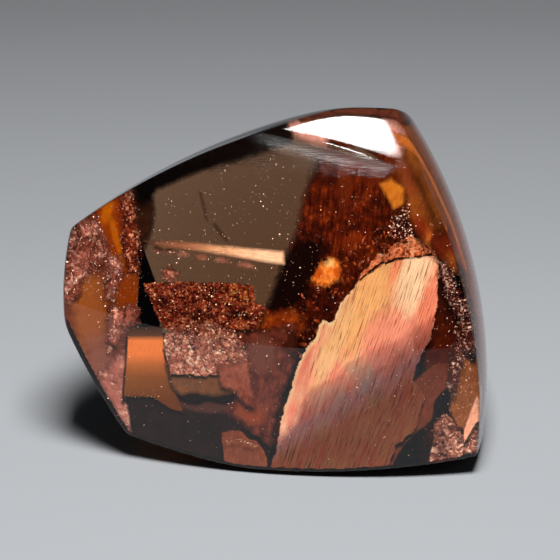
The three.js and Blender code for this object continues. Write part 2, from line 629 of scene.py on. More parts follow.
def skin_sheet(name, outline, depth, material):
    """A thin sheet that follows the surface at a small depth in mm."""
    bm = outline_grid([(x * POINT, y * POINT) for x, y in outline], SKIN_STEP)
    for v in bm.verts:
        v.co = under(v.co.x / POINT, v.co.y / POINT, depth)
    return thin_body(name, bm, -look, material)


# %% [markdown]
# The wall at the right is seen so flatly that a grid in the view would be torn there. Its veils are laid out
# in degrees round and up as seen from the heart of the stone, and follow the wall all the way to its back.

# %% Sheets close under a wall
ARC = 0.183  # mm of wall for one degree
WALL_STEP = 0.18  # mm


def wall_sheet(name, outline, depth, material):
    """A thin sheet that follows the skin at a small depth in mm. The outline is in degrees from the heart."""
    bm = outline_grid([(turn * ARC, up * ARC) for turn, up in outline], WALL_STEP)
    for v in bm.verts:
        heading = outward(v.co.x / ARC, v.co.y / ARC)
        v.co = HEART + heading * (min(ball_run(HEART, heading, *ball) for ball in BALLS) - depth * MM)
    return thin_body(name, bm, Vector((1, 0, 0)), material)


# %% [markdown]
# ## Grain
# Every copper sheet shows streaks, because the plates line up with the crystal.
# Streaks are noise that is stretched one way. Every material needs them, so one node group makes them:
# it measures a place along and across the grain, and puts out the streaks and a soft mottle.

# %% The grain group
def new_group(name, **sockets):
    """A node group with these named sockets, each a type and INPUT or OUTPUT, and the values it is given."""
    group = bpy.data.node_groups.new(name, "ShaderNodeTree")
    for socket, (kind, way) in sockets.items():
        group.interface.new_socket(socket, in_out=way, socket_type=kind)
    return group, add(group, "NodeGroupInput").outputs


GIVEN, GIVEN_WAY = ("NodeSocketFloat", "INPUT"), ("NodeSocketVector", "INPUT")
PUT_OUT = ("NodeSocketFloat", "OUTPUT")

GRAIN, given = new_group(
    "copper grain", Along=GIVEN_WAY, Across=GIVEN_WAY, Patches=GIVEN, Streaks=PUT_OUT, Mottle=PUT_OUT)
where = place(GRAIN)
along = add(GRAIN, "ShaderNodeVectorMath", {"operation": "DOT_PRODUCT"}, i0=where, i1=given["Along"])
across = add(GRAIN, "ShaderNodeVectorMath", {"operation": "DOT_PRODUCT"}, i0=where, i1=given["Across"])
stretched = add(GRAIN, "ShaderNodeCombineXYZ", X=along.outputs["Value"], Y=across.outputs["Value"])
streaks = noisy(GRAIN, stretched.outputs["Vector"], 1.0, detail=3.0, rough=0.65)
add(GRAIN, "NodeGroupOutput", Streaks=streaks, Mottle=noisy(GRAIN, where, given["Patches"]))


def grain(tree, along, across, length, width, patches):
    """Streaks of this length and width in mm, and soft patches of this size."""
    node = add(tree, "ShaderNodeGroup", {"node_tree": GRAIN})
    node.inputs["Along"].default_value = Vector(along) / (length * MM)
    node.inputs["Across"].default_value = Vector(across) / (width * MM)
    node.inputs["Patches"].default_value = 1 / (patches * MM)
    return node.outputs["Streaks"], node.outputs["Mottle"]


print("the grain group has", len(GRAIN.nodes), "nodes")

# %% [markdown]
# ## The broken rim
# Each sheet ends in a ragged rim. The attribute "inside" says how far a place is from the outline, and a
# noise with much fine detail pushes that line in and out, in bays and in single crystals. The result is the
# sheet's alpha. A small softness gives a crust, a large one a veil that fades away.

# %% The rim group
BAY = 0.5 * MM  # how wide the widest bays are

RIM, given = new_group("broken rim", Ragged=GIVEN, Soft=GIVEN, Mask=PUT_OUT)
bays = noisy(RIM, place(RIM), 1 / BAY, detail=5.0, rough=0.72)
push = times(RIM, maths(RIM, "SUBTRACT", bays, 0.5), given["Ragged"])
mask = plus(RIM, maths(RIM, "DIVIDE", plus(RIM, own_value(RIM, "inside"), push), given["Soft"]), 0.5)
add(RIM, "NodeGroupOutput", Mask=add(RIM, "ShaderNodeClamp", Value=mask).outputs["Result"])


def broken_rim(tree, ragged, soft, density=1.0):
    """Alpha for a sheet whose rim wanders by some mm and fades over some mm."""
    node = add(tree, "ShaderNodeGroup", {"node_tree": RIM}, Ragged=ragged, Soft=soft)
    return times(tree, node.outputs["Mask"], density)


print("the rim group has", len(RIM.nodes), "nodes")

# %% [markdown]
# ## Soft shading in the stone
# Most pieces shade softly from one colour into another. A painted texture would need an image, so helpers
# shade in the stone's own space: a ramp between two places, and a cloud, which is 1 at its middle and 0 at
# its ragged edge.

# %% Fades and clouds
def fade(tree, start, end, wobble=None, by=0.0):
    """0 at one place in the stone and 1 at another, with a wobble of this many times the way between them."""
    way = (end - start) / (end - start).length_squared
    along = add(tree, "ShaderNodeVectorMath", {"operation": "DOT_PRODUCT"}, i0=place(tree), i1=way)
    value = maths(tree, "SUBTRACT", along.outputs["Value"], start.dot(way))
    if wobble is not None:
        value = plus(tree, value, times(tree, maths(tree, "SUBTRACT", wobble, 0.5), by))
    return value


def shaded(tree, colour, start, end, stops):
    """A colour multiplied by a ramp that runs from one place in the stone to another."""
    return tinted(tree, colour, ramp(tree, fade(tree, start, end), stops))


CLOUD_DEEP = 4  # mm, how far a cloud reaches to the front and back
CLOUD_RAGGED, CLOUD_SOFT = 0.9, 0.6  # shares of its size


def cloud(tree, px, py, across, up, lean, deep):
    """A mask that is 1 in an egg of this size in mm, seen at a point of the view, leaned by some degrees."""
    where = place(tree)
    egg = add(tree, "ShaderNodeMapping", {"vector_type": "TEXTURE"}, Vector=where)
    egg.inputs["Location"].default_value = under(px, py, deep)
    egg.inputs["Rotation"].default_value = (0, math.radians(lean), 0)
    egg.inputs["Scale"].default_value = (across * MM, CLOUD_DEEP * MM, up * MM)
    far = add(tree, "ShaderNodeVectorMath", {"operation": "LENGTH"}, i0=egg.outputs["Vector"])
    bays = noisy(tree, where, 1 / BAY, detail=4.0, rough=0.6)
    far = plus(tree, far.outputs["Value"], times(tree, maths(tree, "SUBTRACT", bays, 0.5), CLOUD_RAGGED))
    return span(tree, far, 1 + CLOUD_SOFT / 2, 1 - CLOUD_SOFT / 2)


def with_clouds(tree, colour, clouds, blend="MIX", deep=1.2):
    """A colour with clouds of others over it, each (x, y, across, up, lean, colour), this many mm deep."""
    for *egg, other in clouds:
        colour = mixed(tree, cloud(tree, *egg, deep), colour, other, blend)
    return colour


print("a cloud fades over", CLOUD_SOFT, "of its size")

# %% [markdown]
# ## Copper with one facing
# A sheet flashes cream and salmon where its plates all face half way between a lamp and the eye.
# The plates are far too small to model, so the sheet's shader is given the way they face by a normal map
# of one colour: such a colour stands for one direction.

# %% The way the plates face
PLATES_FACE = Vector((0.04, -0.80, 0.60)).normalized()
SHEET_LIES = Vector((-0.12, -0.92, 0.37)).normalized()
GRAIN_SLANT = math.radians(72)
uphill = Vector((1, 0, 0)).cross(-SHEET_LIES).normalized()
GRAIN_RUNS = (uphill.cross(SHEET_LIES) * math.cos(GRAIN_SLANT) + uphill * math.sin(GRAIN_SLANT)).normalized()
GRAIN_CROSSES = GRAIN_RUNS.cross(SHEET_LIES).normalized()


def facing(tree, way, bump=None, strength=0.0, height=0.0):
    """The way that copper plates face, as a normal, with bumps of this height in mm."""
    flat = add(tree, "ShaderNodeNormalMap", {"space": "OBJECT"}, Color=(*[0.5 + 0.5 * c for c in way], 1))
    if bump is None:
        return flat.outputs["Normal"]
    bumps = add(tree, "ShaderNodeBump", Normal=flat.outputs["Normal"], Height=bump, Strength=strength,
                Distance=height * MM)
    return bumps.outputs["Normal"]


print("the plates face", round(math.degrees(math.asin(PLATES_FACE.z))), "degrees up")

# %% [markdown]
# ## The big copper sheet
# The largest sheet rises from the front foot of the stone to the back. It is salmon and pink in the middle,
# with a painted gold highlight along its left edge, then turns lavender and brown towards its foot: painted
# shade, for plates that lean away from the lamp there.
# One flat grid is enough for its shape, so the care goes into its colours.

# %% Warm tones of the big sheet
SHEET_AT = (300, 462, 0.6)
LEFT_HIGHLIGHT_CLOUD, RIM_WIDTH, RIM_HIGHLIGHT_GOLD = (322, 350, 0.9, 4.2, 25), (0.22, 0.08), (1.0, 0.90, 0.62)
FINE_GRAIN, BROAD_GRAIN = (1.5, 0.075, 1.3), (4, 0.35, 3)  # length, width and patches in mm
BROAD_SHARE = 0.65  # of the broad streaks in the tone, beside the mottle
WARM = [
    (0.38, (0.95, 0.34, 0.25)), (0.48, (1.0, 0.50, 0.36)), (0.56, (1.0, 0.66, 0.46)),
    (0.66, (1.0, 0.85, 0.64)),
]
WARM_CLOUDS = [
    (372, 300, 1.0, 3.6, 22, (1.0, 0.68, 0.33)), (335, 350, 0.5, 2.6, 25, (1.0, 0.74, 0.42)),
    (410, 284, 1.0, 2.0, 15, (1.0, 0.88, 0.66)), (427, 320, 0.55, 2.2, 12, (0.86, 0.32, 0.22)),
    (394, 272, 0.28, 1.5, 18, (1.0, 0.46, 0.28)), (412, 334, 0.6, 0.7, 20, (0.80, 0.34, 0.26)),
    (385, 345, 1.2, 1.4, 30, (1.0, 0.46, 0.36)),
]

big_copper, tree = new_material("big copper sheet")
fine, mottle = grain(tree, GRAIN_RUNS, GRAIN_CROSSES, *FINE_GRAIN)
broad, blotch = grain(tree, GRAIN_RUNS, GRAIN_CROSSES, *BROAD_GRAIN)
tone = plus(tree, times(tree, broad, BROAD_SHARE), times(tree, mottle, 1 - BROAD_SHARE))
warm = with_clouds(tree, ramp(tree, tone, WARM), WARM_CLOUDS)
at_rim = span(tree, own_value(tree, "inside"), *RIM_WIDTH)
# the gold along the left edge is a painted highlight
warm = mixed(tree, times(tree, cloud(tree, *LEFT_HIGHLIGHT_CLOUD, deep=1.2), at_rim), warm, RIM_HIGHLIGHT_GOLD)
print("the big sheet has", len(WARM_CLOUDS), "warm clouds")

# %% [markdown]
# Dark hairlines run along the grain where the sheet is torn, and a few longer cracks beside them.
# Towards its foot the sheet fades to brown, which is painted shade, except for a strip at the left that keeps
# its lit colours as painted light.

# %% Cracks and the painted shade on the foot
HAIRLINES = [(0.35, (0.30, 0.14, 0.10)), (0.43, (0.85, 0.78, 0.78)), (0.55, (1, 1, 1))]
CRACKS, CRACK_GRAIN = [(0.34, (0.32, 0.13, 0.09)), (0.385, (1, 1, 1))], (2.6, 0.13, 2)
TORN = (0.38, 0.56, 0.55, 1.0)  # from whole to torn in the blotches, and how much the hairlines show in each
SHADE_FROM, SHADE_TO, SHADE_WOBBLE = (350, 361), (378, 406), 0.35
PAINTED_SHADE_STOPS = [
    (0.0, (1, 1, 1)), (0.11, (0.68, 0.58, 0.60)), (0.26, (0.48, 0.42, 0.48)), (0.41, (0.32, 0.28, 0.34)),
    (0.6, (0.20, 0.205, 0.31)), (0.9, (0.17, 0.12, 0.10)), (1.0, (0.15, 0.08, 0.045)),
]
PAINTED_LIT_FOOT, PAINTED_LIT_TINT = (291, 400, 0.75, 2.6, 22), (0.84, 0.76, 0.76)


def on_big_sheet(px, py):
    """The place on the big sheet that is seen at a point of the view."""
    return on_plane(px, py, under(*SHEET_AT), SHEET_LIES)


bright = mixed(tree, span(tree, blotch, *TORN), warm, ramp(tree, fine, HAIRLINES), "MULTIPLY")
long_cracks, _ = grain(tree, GRAIN_RUNS, GRAIN_CROSSES, *CRACK_GRAIN)
bright = tinted(tree, bright, ramp(tree, long_cracks, CRACKS))
painted_shade = fade(tree, on_big_sheet(*SHADE_FROM), on_big_sheet(*SHADE_TO), mottle, SHADE_WOBBLE)
colour = tinted(tree, bright, ramp(tree, painted_shade, PAINTED_SHADE_STOPS))
colour = mixed(tree, cloud(tree, *PAINTED_LIT_FOOT, deep=1.1), colour, tinted(tree, warm, PAINTED_LIT_TINT))
principled(tree, Base_Color=colour, Metallic=1.0, Roughness=0.395, Alpha=broken_rim(tree, 0.6, soft=0.04),
           Normal=facing(tree, PLATES_FACE, fine, strength=0.4, height=0.02))
print("the big sheet's material has", len(tree.nodes), "nodes")

# %% The big sheet
BIG_SHEET = [
    (271, 469), (277, 449), (279, 441), (280, 425), (285, 405), (291, 389), (296, 369), (304, 353),
    (309, 345), (316, 338), (318, 325), (324, 320), (331, 324), (337, 314), (341, 303), (351, 291),
    (359, 279), (367, 267), (379, 255), (391, 247), (407, 240), (425, 240), (433, 251), (439, 263),
    (438, 285), (437, 305), (434, 321), (431, 337), (423, 353), (417, 363), (413, 380), (425, 395),
    (415, 430), (395, 445), (393, 470), (340, 474), (300, 474),
]
copper_sheet("big_copper_sheet", BIG_SHEET, SHEET_AT, SHEET_LIES, big_copper, wavy=0)

# %% [markdown]
# ## Crusts of copper
# Round the big sheet the copper is a lumpy crust of small crystals, each a little differently turned.
# Modelled crystals would take millions of faces, so the relief is a bump. Crinkles come from a ridged noise,
# lumps from a smooth one, and a cell pattern gives each crystal its own tone and its own height.
# It is used in many colours, so it is a node group too.

# %% The crust group
OWN_TONE, LUMP_TONE, CRINKLE_TONE, DARKER = 0.34, 0.70, 0.12, 0.09  # what makes the tone
LUMP_HEIGHT, CRINKLE_HEIGHT, OWN_HEIGHT = 2.0, 0.6, 0.4  # and what makes the height
CRINKLE, BENT = 0.4, 0.3 * MM  # how strong the ridged noise is, and how far the lumps push the cells
ROUGH_NOISE = {"Detail": 3.0, "Roughness": 0.6}
RIDGED = {"noise_type": "RIDGED_MULTIFRACTAL", "normalize": False}

CRUST, given = new_group("copper crust", Lumps=GIVEN, Crystals=GIVEN, Tone=PUT_OUT, Height=PUT_OUT)
where = place(CRUST)
lumps = add(CRUST, "ShaderNodeTexNoise", Vector=where, Scale=given["Lumps"], Distortion=0.4, **ROUGH_NOISE)
smooth = lumps.outputs["Fac"]
crinkle = add(CRUST, "ShaderNodeTexNoise", RIDGED, Vector=where, Scale=given["Lumps"], Lacunarity=2.2,
              Offset=0.9, Gain=1.5, **ROUGH_NOISE)
crinkle = times(CRUST, crinkle.outputs["Fac"], CRINKLE)
bent = add(CRUST, "ShaderNodeVectorMath", {"operation": "MULTIPLY_ADD"}, i0=lumps.outputs["Color"],
           i1=(BENT,) * 3, i2=where)
cells = add(CRUST, "ShaderNodeTexVoronoi", Vector=bent.outputs["Vector"], Scale=given["Crystals"])
own = add(CRUST, "ShaderNodeSeparateColor", Color=cells.outputs["Color"]).outputs["Red"]
tone = plus(CRUST, times(CRUST, own, OWN_TONE), times(CRUST, smooth, LUMP_TONE),
            times(CRUST, crinkle, CRINKLE_TONE))
height = plus(CRUST, times(CRUST, smooth, LUMP_HEIGHT), times(CRUST, crinkle, CRINKLE_HEIGHT),
              times(CRUST, own, OWN_HEIGHT))
add(CRUST, "NodeGroupOutput", Tone=maths(CRUST, "SUBTRACT", tone, DARKER), Height=height)
print("the crust group has", len(CRUST.nodes), "nodes")


# %% The crust material
CRUST_TONES = (0.28, 0.70)  # the noise at its darkest and its lightest tone
CRUST_RELIEF = 0.10  # mm of relief for each mm of lump


def even_ramp(tones, start, end):
    """Stops for these tones, evenly spread from start to end."""
    return [(start + (end - start) * i / (len(tones) - 1), tone) for i, tone in enumerate(tones)]


def crust_material(name, tones, lump, crystal, relief, ragged=0.7, soft=0.05, deep=1.2, clouds=()):
    """Lumpy copper in these tones, dark to light, with lumps and crystals of these sizes in mm."""
    material, tree = new_material(name)
    crust = add(tree, "ShaderNodeGroup", {"node_tree": CRUST})
    crust.inputs["Lumps"].default_value = 1 / (lump * MM)
    crust.inputs["Crystals"].default_value = 1 / (crystal * MM)
    colour = ramp(tree, crust.outputs["Tone"], even_ramp(tones, *CRUST_TONES))
    colour = with_clouds(tree, colour, clouds, "MULTIPLY", deep)
    principled(tree, Base_Color=colour, Metallic=0.9, Roughness=0.38, Alpha=broken_rim(tree, ragged, soft),
               Normal=facing(tree, PLATES_FACE, crust.outputs["Height"], relief, CRUST_RELIEF * lump))
    return material


# %% [markdown]
# ## Veils of fine copper
# Where the plates are too fine to see, the copper is a coloured haze: smooth, soft at its rim, and in places
# thin enough to look through. A volume would be true to that, but it renders slowly and can't be exported,
# so a veil is one more thin sheet, with no relief and a soft rim.

# %% The veil material
UPWARD = Vector((0.1, -0.5, 0.85)).normalized()
VEIL_TONES = (0.32, 0.68)  # the noise at its darkest and its lightest tone
HAIRS = (0.5, 0.06, 1)  # length, width and patches in mm
HAIR_DARK_AT, HAIR_LIGHT_AT = 0.35, 0.65
LIGHTER = 0.6  # how much light hairs stand out, beside dark ones
UPRIGHT = {"runs": (0.1, 0, 1), "crosses": (1, 0, -0.1), "long": 1.0, "wide": 0.16}  # streaks that stand up


def veil_material(name, tones, patches=0.8, metal=0.6, rough=0.5, shade=None, clouds=(), density=1.0,
                  soft=0.3, ragged=0.5, streaks=0.35, runs=GRAIN_RUNS, crosses=GRAIN_CROSSES, long=1.2,
                  wide=0.25, hairy=0.25, deep=1.2):
    """A smooth cloudy veil in these tones, with streaks and soft patches of these sizes in mm."""
    material, tree = new_material(name)
    lines, mottle = grain(tree, runs, crosses, long, wide, patches)
    tone = plus(tree, times(tree, lines, streaks), times(tree, mottle, 1 - streaks))
    colour = with_clouds(tree, ramp(tree, tone, even_ramp(tones, *VEIL_TONES)), clouds, deep=deep)
    hairs, _ = grain(tree, runs, crosses, *HAIRS)
    hair_stops = [(HAIR_DARK_AT, (1 - hairy,) * 3), (HAIR_LIGHT_AT, (1 + LIGHTER * hairy,) * 3)]
    colour = tinted(tree, colour, ramp(tree, hairs, hair_stops))
    if shade:
        colour = shaded(tree, colour, *shade)
    way = UPWARD if metal == 0 else PLATES_FACE  # a haze without plates just catches the light from above
    principled(tree, Base_Color=colour, Metallic=metal, Roughness=rough, Specular_IOR_Level=0.0,
               Normal=facing(tree, way), Alpha=broken_rim(tree, ragged, soft, density))
    return material


# %% [markdown]
# ## Behind the big sheet
# The middle of the stone is nearly black: dense dark copper stands there far behind the front, and there is
# shade where the view is mirrored off the back faces into the dark room.
# A darker body colour would dim the clear parts too, so it is one wide veil of upright strands, black at the
# left and dark red at the right.
# Its black is partly painted shade, and its bright orange GLOW cloud is a painted glow.

# %% The dark veil
DARK_LIES, DARK_VEIL_AT = (-0.05, -0.96, 0.27), (330, 300, 5.0)
DARK_VEIL = [
    (318, 158), (311, 176), (304, 200), (297, 232), (284, 262), (272, 296), (262, 318), (248, 332),
    (246, 372), (252, 420), (262, 432), (272, 445), (300, 455), (350, 462), (400, 466), (440, 458),
    (464, 430), (474, 390), (472, 330), (464, 285), (452, 255), (440, 225), (425, 190), (412, 160),
    (402, 154), (385, 150), (360, 150), (335, 152),
]
BLACK, BLOOD = (0.014, 0.003, 0.001), (0.20, 0.026, 0.005)
RUST, GLOW = (0.36, 0.07, 0.012), (0.62, 0.15, 0.025)
DARK_CLOUDS = [
    (286, 282, 1.5, 2.6, 25, BLACK), (345, 182, 0.35, 1.2, 3, (0.24, 0.05, 0.012)),
    (400, 180, 0.9, 1.4, 0, RUST), (308, 258, 0.8, 1.3, 20, BLACK), (352, 240, 0.6, 0.4, -30, RUST),
    (380, 262, 0.8, 0.7, 0, RUST), (445, 330, 1.1, 2.6, 0, BLOOD), (440, 250, 0.5, 0.9, -20, GLOW),
    (300, 370, 1.2, 2.2, 20, BLACK),
]

dark = veil_material(
    "dark copper and shade veil", [(0.03, 0.006, 0.002), (0.10, 0.016, 0.004), (0.24, 0.04, 0.008), (0.55, 0.12, 0.02)],
    patches=0.5, metal=0, soft=0.5, streaks=0.5, hairy=0.5, deep=5, clouds=DARK_CLOUDS, **UPRIGHT)
copper_sheet("dark_copper_and_shade_veil", DARK_VEIL, DARK_VEIL_AT, DARK_LIES, dark, step=0.3)

# %% [markdown]
# In front of the veil a few places glow orange, where light finds a way through the copper.
# Copper makes no light of its own, so that glow is painted into their colours, brightest in the lump's core,
# and the lamps light them as well.

# %% Glowing places
LUMP_AT, EMBER_AT, WEDGE_AT = (328, 272, 2.2), (284, 322, 2.4), (392, 195, 0.9)
GLOWING_LUMP = [
    (312, 281), (316, 269), (323, 262), (333, 258), (341, 263), (342, 273), (336, 282), (325, 286),
]
EMBER_PATCH = [(266, 314), (290, 310), (304, 318), (300, 332), (275, 336), (258, 328)]
AMBER_WEDGE = [(380, 184), (390, 180), (403, 188), (402, 204), (392, 209)]
PAINTED_GLOW_CORE, PAINTED_GLOW_EDGE = (1.0, 0.62, 0.24), (0.6, 0.12, 0.01)
LUMP_CLOUDS = [
    (330, 270, 0.3, 0.25, 0, PAINTED_GLOW_CORE), (318, 281, 0.35, 0.3, 0, PAINTED_GLOW_EDGE),
    (340, 280, 0.3, 0.3, 0, PAINTED_GLOW_EDGE),
]

glow = veil_material(
    "glowing copper", [(0.5, 0.09, 0.008), (0.9, 0.27, 0.04), (1.0, 0.46, 0.11)],
    patches=0.22, metal=0.9, rough=0.4, soft=0.3, ragged=1.1, streaks=0.4, long=0.3, wide=0.1,
    clouds=LUMP_CLOUDS)
copper_sheet("glowing_lump", GLOWING_LUMP, LUMP_AT, SHEET_LIES, glow, step=0.12)
ember = veil_material("ember", [(0.15, 0.015, 0.001), (0.6, 0.10, 0.008), (0.9, 0.25, 0.03)], patches=0.35,
                      soft=0.5, ragged=0.7)
copper_sheet("ember_patch", EMBER_PATCH, EMBER_AT, SHEET_LIES, ember, step=0.15)
wedge = veil_material("amber wedge", [(0.38, 0.105, 0.008), (0.50, 0.155, 0.015)], patches=0.5, metal=0,
                      soft=0.2, ragged=0.2)
copper_sheet("amber_wedge", AMBER_WEDGE, WEDGE_AT, SHEET_LIES, wedge, step=0.1)

# %% [markdown]
# ## Low at the left
# Below the clear part the stone is nearly black: a smoky haze of copper, and shade where the view is mirrored
# off the base and back into the dark room.
# One near-black veil fills that corner, partly painted shade, and smaller veils of olive, black, maroon and
# rose lie in front of it.
# One sheet in all these colours would look painted from the side, so each has its own depth.

# %% The smoky, shaded corner
CORNER_LIES = (-0.15, -0.96, 0.2)
SMOKY_SHADE_AT, OLIVE_AT, STEP_AT, MAROON_AT = (200, 400, 1.5), (205, 380, 1.2), (205, 396, 1.3), (270, 380, 1.4)
SMOKY_SHADE_VEIL = [
    (156, 334), (200, 330), (262, 330), (262, 400), (268, 440), (268, 472), (240, 470), (205, 462),
    (160, 452), (128, 440), (128, 396), (156, 396),
]
OLIVE_VEIL = [(166, 364), (222, 368), (236, 376), (236, 392), (214, 396), (196, 392), (180, 394), (172, 386)]
BLACK_STEP = [
    (180, 392), (196, 389), (214, 392), (236, 390), (240, 397), (226, 401), (210, 399), (196, 402),
    (184, 400),
]
MAROON_VEIL = [
    (244, 333), (294, 324), (297, 350), (286, 382), (275, 412), (270, 444), (264, 440), (250, 428),
    (232, 414), (236, 396), (246, 372),
]
SMOKY_SHADE_CLOUDS = [
    (206, 408, 1.7, 0.35, 0, (0.07, 0.026, 0.021)), (245, 414, 0.9, 0.7, 40, (0.18, 0.036, 0.011)),
]
MAROON_CLOUDS = [
    (250, 412, 0.8, 0.6, 30, (0.22, 0.045, 0.016)), (262, 356, 0.7, 1.0, 0, (0.13, 0.045, 0.032)),
    (294, 345, 0.6, 0.9, 20, (0.04, 0.008, 0.004)),
]

smoke_and_shade = veil_material("smoky and shade veil", [(0.006, 0.003, 0.002), (0.016, 0.007, 0.006)], patches=0.9, metal=0,
                      soft=0.15, ragged=0.15, clouds=SMOKY_SHADE_CLOUDS)
copper_sheet("smoky_and_shade_veil", SMOKY_SHADE_VEIL, SMOKY_SHADE_AT, CORNER_LIES, smoke_and_shade)
olive = veil_material("olive veil", [(0.11, 0.042, 0.016), (0.17, 0.068, 0.024)], patches=0.5, metal=0,
                      soft=0.3, ragged=0.3)
copper_sheet("olive_veil", OLIVE_VEIL, OLIVE_AT, CORNER_LIES, olive, step=0.15)
black = veil_material("black step", [(0.012, 0.004, 0.003), (0.02, 0.007, 0.005)], soft=0.12, ragged=0.35)
copper_sheet("black_step", BLACK_STEP, STEP_AT, CORNER_LIES, black, step=0.12)
maroon = veil_material("maroon veil", [(0.03, 0.006, 0.003), (0.10, 0.022, 0.013), (0.20, 0.05, 0.03)],
                       patches=0.5, metal=0, soft=0.4, ragged=0.7, clouds=MAROON_CLOUDS)
copper_sheet("maroon_veil", MAROON_VEIL, MAROON_AT, CORNER_LIES, maroon)

# %% The rose veil
ROSE_AT = (240, 380, 1.0)
ROSE_VEIL = [(218, 366), (249, 362), (250, 384), (256, 408), (246, 406), (236, 392), (221, 386)]
ROSE_TOP, ROSE_FOOT = (240, 372, 1), (246, 420, 1)
ROSE_SHADE = [(0, (1, 1, 1)), (0.35, (0.9, 0.8, 0.7)), (1, (0.45, 0.2, 0.1))]

rose = veil_material("rose veil", [(0.34, 0.08, 0.045), (0.6, 0.17, 0.10), (0.75, 0.28, 0.19)], patches=0.35,
                     soft=0.25, ragged=0.6, shade=(under(*ROSE_TOP), under(*ROSE_FOOT), ROSE_SHADE))
copper_sheet("rose_veil", ROSE_VEIL, ROSE_AT, CORNER_LIES, rose, step=0.15)

# %% [markdown]
# Over the smoky, shaded corner lie two crusts, a dark red band full of gold dust above a crinkled pink one.
# The bump alone leaves the valleys between their lumps too light, so clouds of painted shade darken them, and
# two more clouds darken the pink crust along its top.

# %% Crusts left of the middle
GOLD_AT, PINK_AT = (205, 305, 2.4), (205, 350, 1.3)
GOLD_BAND = [
    (143, 283), (160, 282), (200, 283), (232, 283), (252, 286), (257, 304), (270, 312), (266, 332),
    (245, 336), (226, 331), (210, 326), (163, 330), (153, 306),
]
PINK_CRUST = [
    (164, 338), (172, 326), (205, 321), (230, 329), (248, 334), (248, 352), (246, 373), (219, 376),
    (170, 374), (165, 352),
]
VALLEY_SHADE = (0.30, 0.18, 0.12)
GOLD_CLOUDS = [
    (162, 300, 0.5, 0.25, 0, VALLEY_SHADE), (198, 315, 0.9, 0.2, 0, VALLEY_SHADE), (240, 316, 0.7, 0.22, 0, VALLEY_SHADE),
    (240, 295, 0.8, 0.5, 0, (1.6, 2.2, 1.4)),
]
PINK_CLOUDS = [(190, 331, 1.0, 0.35, 0, (0.45, 0.26, 0.2)), (232, 331, 0.7, 0.35, 0, (0.4, 0.2, 0.14))]

gold_band = crust_material(
    "gold dust band", [(0.05, 0.005, 0.002), (0.24, 0.022, 0.010), (0.48, 0.08, 0.035), (1.0, 0.42, 0.20)],
    lump=0.45, crystal=0.10, relief=1.0, deep=2.4, clouds=GOLD_CLOUDS)
pink_crust = crust_material(
    "pink crust", [(0.20, 0.05, 0.03), (0.40, 0.13, 0.085), (0.60, 0.25, 0.17), (1.0, 0.75, 0.6)],
    lump=0.8, crystal=0.13, relief=0.7, clouds=PINK_CLOUDS)
copper_sheet("gold_dust_band", GOLD_BAND, GOLD_AT, SHEET_LIES, gold_band)
copper_sheet("pink_crust", PINK_CRUST, PINK_AT, SHEET_LIES, pink_crust)

# %% [markdown]
# ## The slips at the left foot
# A slip of copper is as flat as a mirror: its top catches the lamp and shines orange, its tail is brown.
# Turning each of its plates would do that too, but a ramp from top to tail is steadier.

# %% The orange slip and the low slip
ORANGE_AT, LOW_AT = (147, 350, 1.1), (244, 452, 0.8)
ORANGE_SLIP = [
    (129, 327), (162, 327), (166, 364), (173, 388), (184, 412), (171, 409), (153, 397), (124, 396),
    (127, 357),
]
LOW_SLIP = [
    (221, 433), (232, 430), (240, 431), (248, 438), (257, 441), (265, 452), (267, 474), (245, 472),
    (222, 468),
]
SLIP_TOP, SLIP_TAIL = (147, 328, 1.2), (152, 400, 1.2)
SLIP_SHADE = [
    (0, (0.05, 0.08, 0.14)), (0.10, (0.12, 0.17, 0.27)), (0.17, (1, 1, 1)), (0.36, (1, 1, 1)),
    (0.5, (0.55, 0.6, 0.55)), (0.66, (0.28, 0.34, 0.26)), (1, (0.16, 0.17, 0.1)),
]

orange = veil_material(
    "orange slip", [(0.80, 0.20, 0.045), (0.86, 0.25, 0.06)], patches=1.5, rough=0.36, soft=0.08, ragged=0.08,
    hairy=0.08, shade=(under(*SLIP_TOP), under(*SLIP_TAIL), SLIP_SHADE))
copper_sheet("orange_slip", ORANGE_SLIP, ORANGE_AT, CORNER_LIES, orange, step=0.15)
low_pink = veil_material("low pink slip", [(0.34, 0.09, 0.04), (0.52, 0.16, 0.08)], patches=0.4, soft=0.06,
                         ragged=0.3)
copper_sheet("low_pink_slip", LOW_SLIP, LOW_AT, SHEET_LIES, low_pink, step=0.12)

# %% [markdown]
# ## The left end
# The left end is a mass of amber feldspar and mauve copper, with a glowing orange vein and a seam of dust.
# Its colours run into each other, and separate sheets would show their rims, so one wide veil carries them
# all as clouds. Lumpy crusts with broken rims lie just in front.

